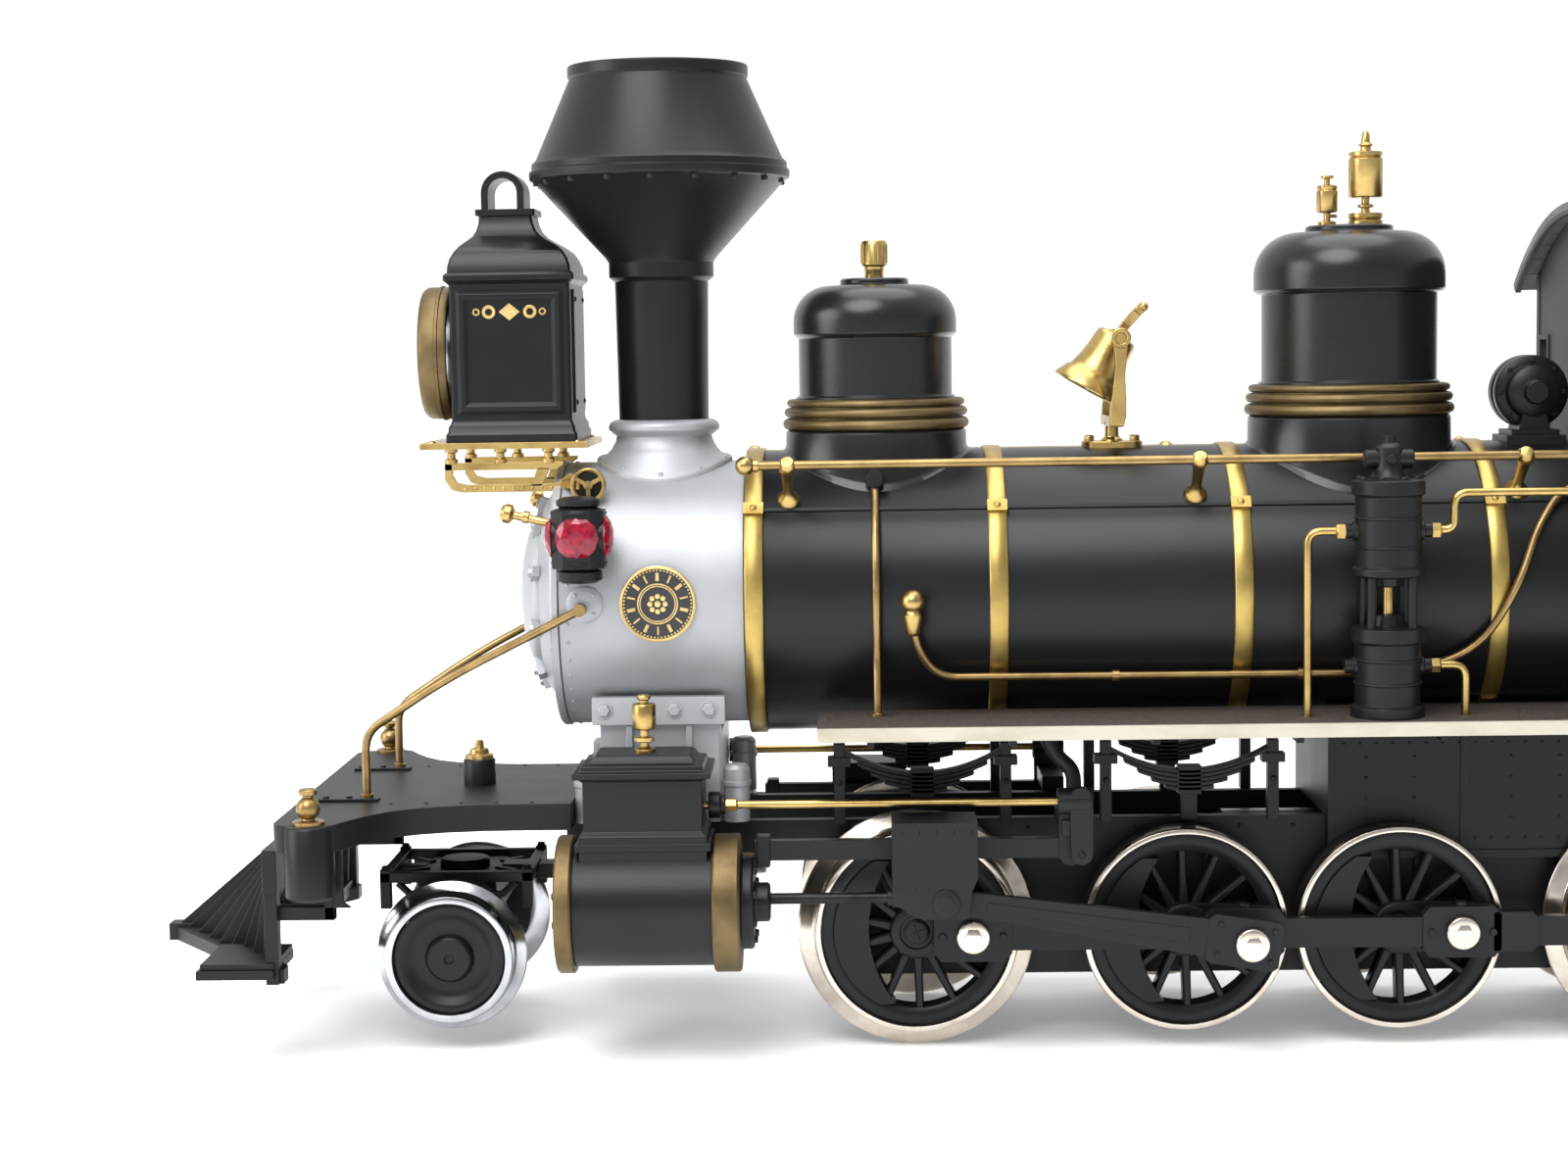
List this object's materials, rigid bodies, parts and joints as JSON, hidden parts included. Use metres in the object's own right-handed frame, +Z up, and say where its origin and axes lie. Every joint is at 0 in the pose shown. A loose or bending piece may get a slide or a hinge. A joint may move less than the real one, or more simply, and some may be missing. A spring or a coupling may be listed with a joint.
{
  "type": "model steam locomotive",
  "caption": "Large-scale model steam locomotive with a diamond stack, box headlight, domes, bell, pilot truck, coupled spoked drivers and working rods.",
  "frame": {"origin": "under the middle of the locomotive's length and width, at the lowest point of the flanged driving wheels", "axes": "+X towards the drawbar and tender, -X towards the pilot's nose, -Y the fireman's (left) side, +Z up"},
  "size_m": [0.3675, 0.102, 0.1955],
  "materials": {
    "black_plastic": "satin black paint on moulded plastic",
    "boiler_black": "satin black boiler jacket",
    "silver_paint": "fine metallic silver paint",
    "brass": "brass, lightly tarnished",
    "dull_brass": "browned brass",
    "nickel": "nickel-plated tyre, polished tread",
    "chrome": "bright plated tyre",
    "frame_black": "satin black",
    "rod_black": "satin black",
    "board_top": "matt dark deck with cream edge",
    "jewel_red": "red faceted glass",
    "lens_glass": "clear",
    "cab_grey": "matt dark grey",
    "steel": "brushed",
    "weight_lead": "cast"
  },
  "bodies": {
    "chassis": {"frame": "frame_black", "gearbox_housing": "black_plastic", "motor": "steel", "ballast_weight": "weight_lead", "pilot_deck": "black_plastic", "cowcatcher": "black_plastic", "pole_posts": "brass", "deck_stays": "brass", "saddle": "silver_paint", "cylinders": "black_plastic", "cylinder_brass": "brass", "steam_chests": "black_plastic", "guide_bars": "frame_black", "valve_rods": "brass", "leaf_springs": "frame_black", "firebox": "black_plastic", "smokebox": "silver_paint", "smokebox_front": "silver_paint", "builder_plates": "dull_brass", "boiler_barrel": "boiler_black", "boiler_bands": "dull_brass", "sand_dome": "black_plastic", "steam_dome": "black_plastic", "dome_fittings": "brass", "stack_base": "silver_paint", "smokestack": "black_plastic", "handrails": "brass", "boiler_pipes": "dull_brass", "air_pump": "black_plastic", "pump_pipes": "brass", "generator": "black_plastic", "headlight_case": "black_plastic", "headlight_bezel": "dull_brass", "headlight_lens": "lens_glass", "headlight_bracket": "brass", "marker_lamps": "black_plastic", "marker_jewels": "jewel_red", "bell_stand": "brass", "running_boards": "board_top", "cab_walls": "cab_grey", "cab_roof": "cab_grey"},
    "wheelset_1": {"driver_1": "black_plastic", "driver_1_tyres": "nickel"},
    "wheelset_2": {"driver_2": "black_plastic", "driver_2_tyres": "nickel"},
    "wheelset_3": {"driver_3": "black_plastic", "driver_3_tyres": "nickel"},
    "wheelset_4": {"driver_4": "black_plastic", "driver_4_tyres": "nickel"},
    "coupling_rod_left": {"side_rod_left": "rod_black"},
    "coupling_rod_right": {"side_rod_right": "rod_black"},
    "connecting_rod_left": {"main_rod_left": "rod_black"},
    "connecting_rod_right": {"main_rod_right": "rod_black"},
    "sliding_crosshead_left": {"crosshead_left": "frame_black"},
    "sliding_crosshead_right": {"crosshead_right": "frame_black"},
    "pilot_truck": {"truck_frame": "frame_black"},
    "pilot_wheelset": {"pilot_wheels": "chrome"},
    "swinging_bell": {"bell": "brass"},
    "drawbar_link": {"drawbar": "steel"},
    "worm_shaft": {"motor_shaft": "steel"}
  },
  "joints": [
    {"name": "driver_2_spin", "type": "hinge", "parent": "chassis", "child": "wheelset_2", "pos_m": [0.02355, 0, 0.0236], "axis": [0, 1, 0], "continuous": true},
    {"name": "driver_1_spin", "type": "hinge", "parent": "chassis", "child": "wheelset_1", "pos_m": [-0.02925, 0, 0.0236], "axis": [0, 1, 0], "continuous": true},
    {"name": "driver_3_spin", "type": "hinge", "parent": "chassis", "child": "wheelset_3", "pos_m": [0.06545, 0, 0.0236], "axis": [0, 1, 0], "continuous": true},
    {"name": "driver_4_spin", "type": "hinge", "parent": "chassis", "child": "wheelset_4", "pos_m": [0.11795, 0, 0.0236], "axis": [0, 1, 0], "continuous": true},
    {"name": "side_rod_left_turn", "type": "hinge", "parent": "wheelset_2", "child": "coupling_rod_left", "pos_m": [0.03434, -0.0311, 0.02398], "axis": [0, 1, 0], "continuous": true},
    {"name": "main_rod_left_turn", "type": "hinge", "parent": "wheelset_2", "child": "connecting_rod_left", "pos_m": [0.03434, -0.0404, 0.02398], "axis": [0, 1, 0], "continuous": true},
    {"name": "crosshead_left_slide", "type": "slide", "parent": "chassis", "child": "sliding_crosshead_left", "axis": [1, 0, 0], "range_m": [-0.0216, 0.0002]},
    {"name": "side_rod_right_turn", "type": "hinge", "parent": "wheelset_2", "child": "coupling_rod_right", "pos_m": [0.02317, 0.0311, 0.03439], "axis": [0, 1, 0], "continuous": true},
    {"name": "main_rod_right_turn", "type": "hinge", "parent": "wheelset_2", "child": "connecting_rod_right", "pos_m": [0.02317, 0.0404, 0.03439], "axis": [0, 1, 0], "continuous": true},
    {"name": "crosshead_right_slide", "type": "slide", "parent": "chassis", "child": "sliding_crosshead_right", "axis": [1, 0, 0], "range_m": [-0.0098, 0.0121]},
    {"name": "truck_swivel", "type": "hinge", "parent": "chassis", "child": "pilot_truck", "pos_m": [-0.084, 0, 0.032], "axis": [0, 0, 1], "range_deg": [-8, 8]},
    {"name": "pilot_axle_spin", "type": "hinge", "parent": "pilot_truck", "child": "pilot_wheelset", "pos_m": [-0.122, 0, 0.0189], "axis": [0, 1, 0], "continuous": true},
    {"name": "bell_swing", "type": "hinge", "parent": "chassis", "child": "swinging_bell", "pos_m": [0.013, 0, 0.1396], "axis": [0, 1, 0], "range_deg": [-40, 20]},
    {"name": "drawbar_swing", "type": "hinge", "parent": "chassis", "child": "drawbar_link", "pos_m": [0.165, 0, 0.038], "axis": [0, 0, 1], "range_deg": [-20, 20]},
    {"name": "motor_shaft_spin", "type": "hinge", "parent": "chassis", "child": "worm_shaft", "pos_m": [0.02355, 0, 0.0339], "axis": [1, 0, 0], "continuous": true}
  ],
  "couplings": [
    {"joint": "driver_1_spin", "follows": "driver_2_spin", "ratio": 1},
    {"joint": "driver_3_spin", "follows": "driver_2_spin", "ratio": 1},
    {"joint": "driver_4_spin", "follows": "driver_2_spin", "ratio": 1},
    {"joint": "side_rod_left_turn", "follows": "driver_2_spin", "ratio": -1},
    {"joint": "side_rod_right_turn", "follows": "driver_2_spin", "ratio": -1},
    {"joint": "main_rod_left_turn", "follows": "driver_2_spin", "ratio": -1},
    {"joint": "main_rod_right_turn", "follows": "driver_2_spin", "ratio": -1},
    {"joint": "motor_shaft_spin", "follows": "driver_2_spin", "ratio": 20}
  ]
}
